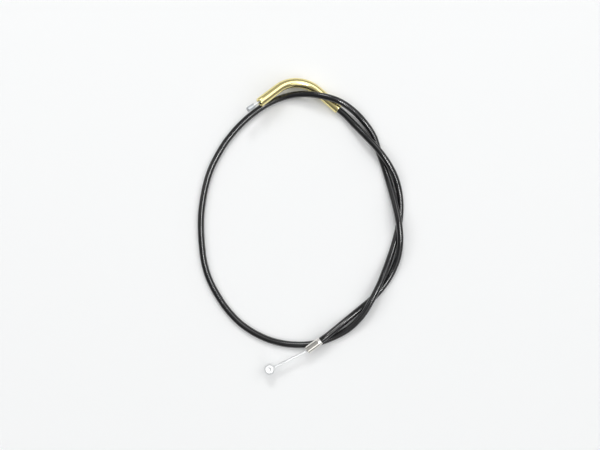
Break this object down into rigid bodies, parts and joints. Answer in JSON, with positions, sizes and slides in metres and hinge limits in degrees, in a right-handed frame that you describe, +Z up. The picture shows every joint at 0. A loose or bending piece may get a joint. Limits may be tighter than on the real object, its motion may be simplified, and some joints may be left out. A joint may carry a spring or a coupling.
{
  "type": "bowden control cable",
  "caption": "Sheathed control cable lying in loose turns, with a bent brass guide tube and nipple at one end and a ferrule and barrel on bare wire at the other.",
  "frame": {"origin": "On the surface that the cable lies on, under the middle of the box round its end fittings, from the barrel to the guide tube", "axes": "+Z up from the surface, +Y from the barrel end towards the guide tube end, +X towards the side where the two turns cross"},
  "size_m": [0.12, 0.1717, 0.0166],
  "materials": {
    "jacket": "satin black PVC",
    "conduit": "bare close-wound steel",
    "liner": "natural nylon",
    "wire": "bright galvanised strand",
    "brass_tube": "polished",
    "nickel": "bright nickel plate",
    "zinc": "grey zinc plate"
  },
  "bodies": {
    "cable": {"casing_jacket": "jacket", "casing_conduit": "conduit", "casing_liner": "liner", "inner_wire": "wire", "elbow_tube": "brass_tube", "ferrule": "nickel"},
    "nipple_end": {"nipple": "zinc", "nipple_wire": "wire"},
    "barrel_end": {"barrel": "zinc", "barrel_wire": "wire"}
  },
  "joints": [
    {"name": "barrel_slide", "type": "slide", "parent": "cable", "child": "barrel_end", "axis": [0.8973, 0.4415, 0], "range_m": [-0.003, 0.02], "deforming": ["barrel_wire"]},
    {"name": "nipple_slide", "type": "slide", "parent": "cable", "child": "nipple_end", "axis": [-0.7589, -0.5587, 0.3347], "range_m": [-0.003, 0.02], "deforming": ["nipple_wire"]}
  ],
  "couplings": [
    {"joint": "nipple_slide", "follows": "barrel_slide", "ratio": 1}
  ]
}
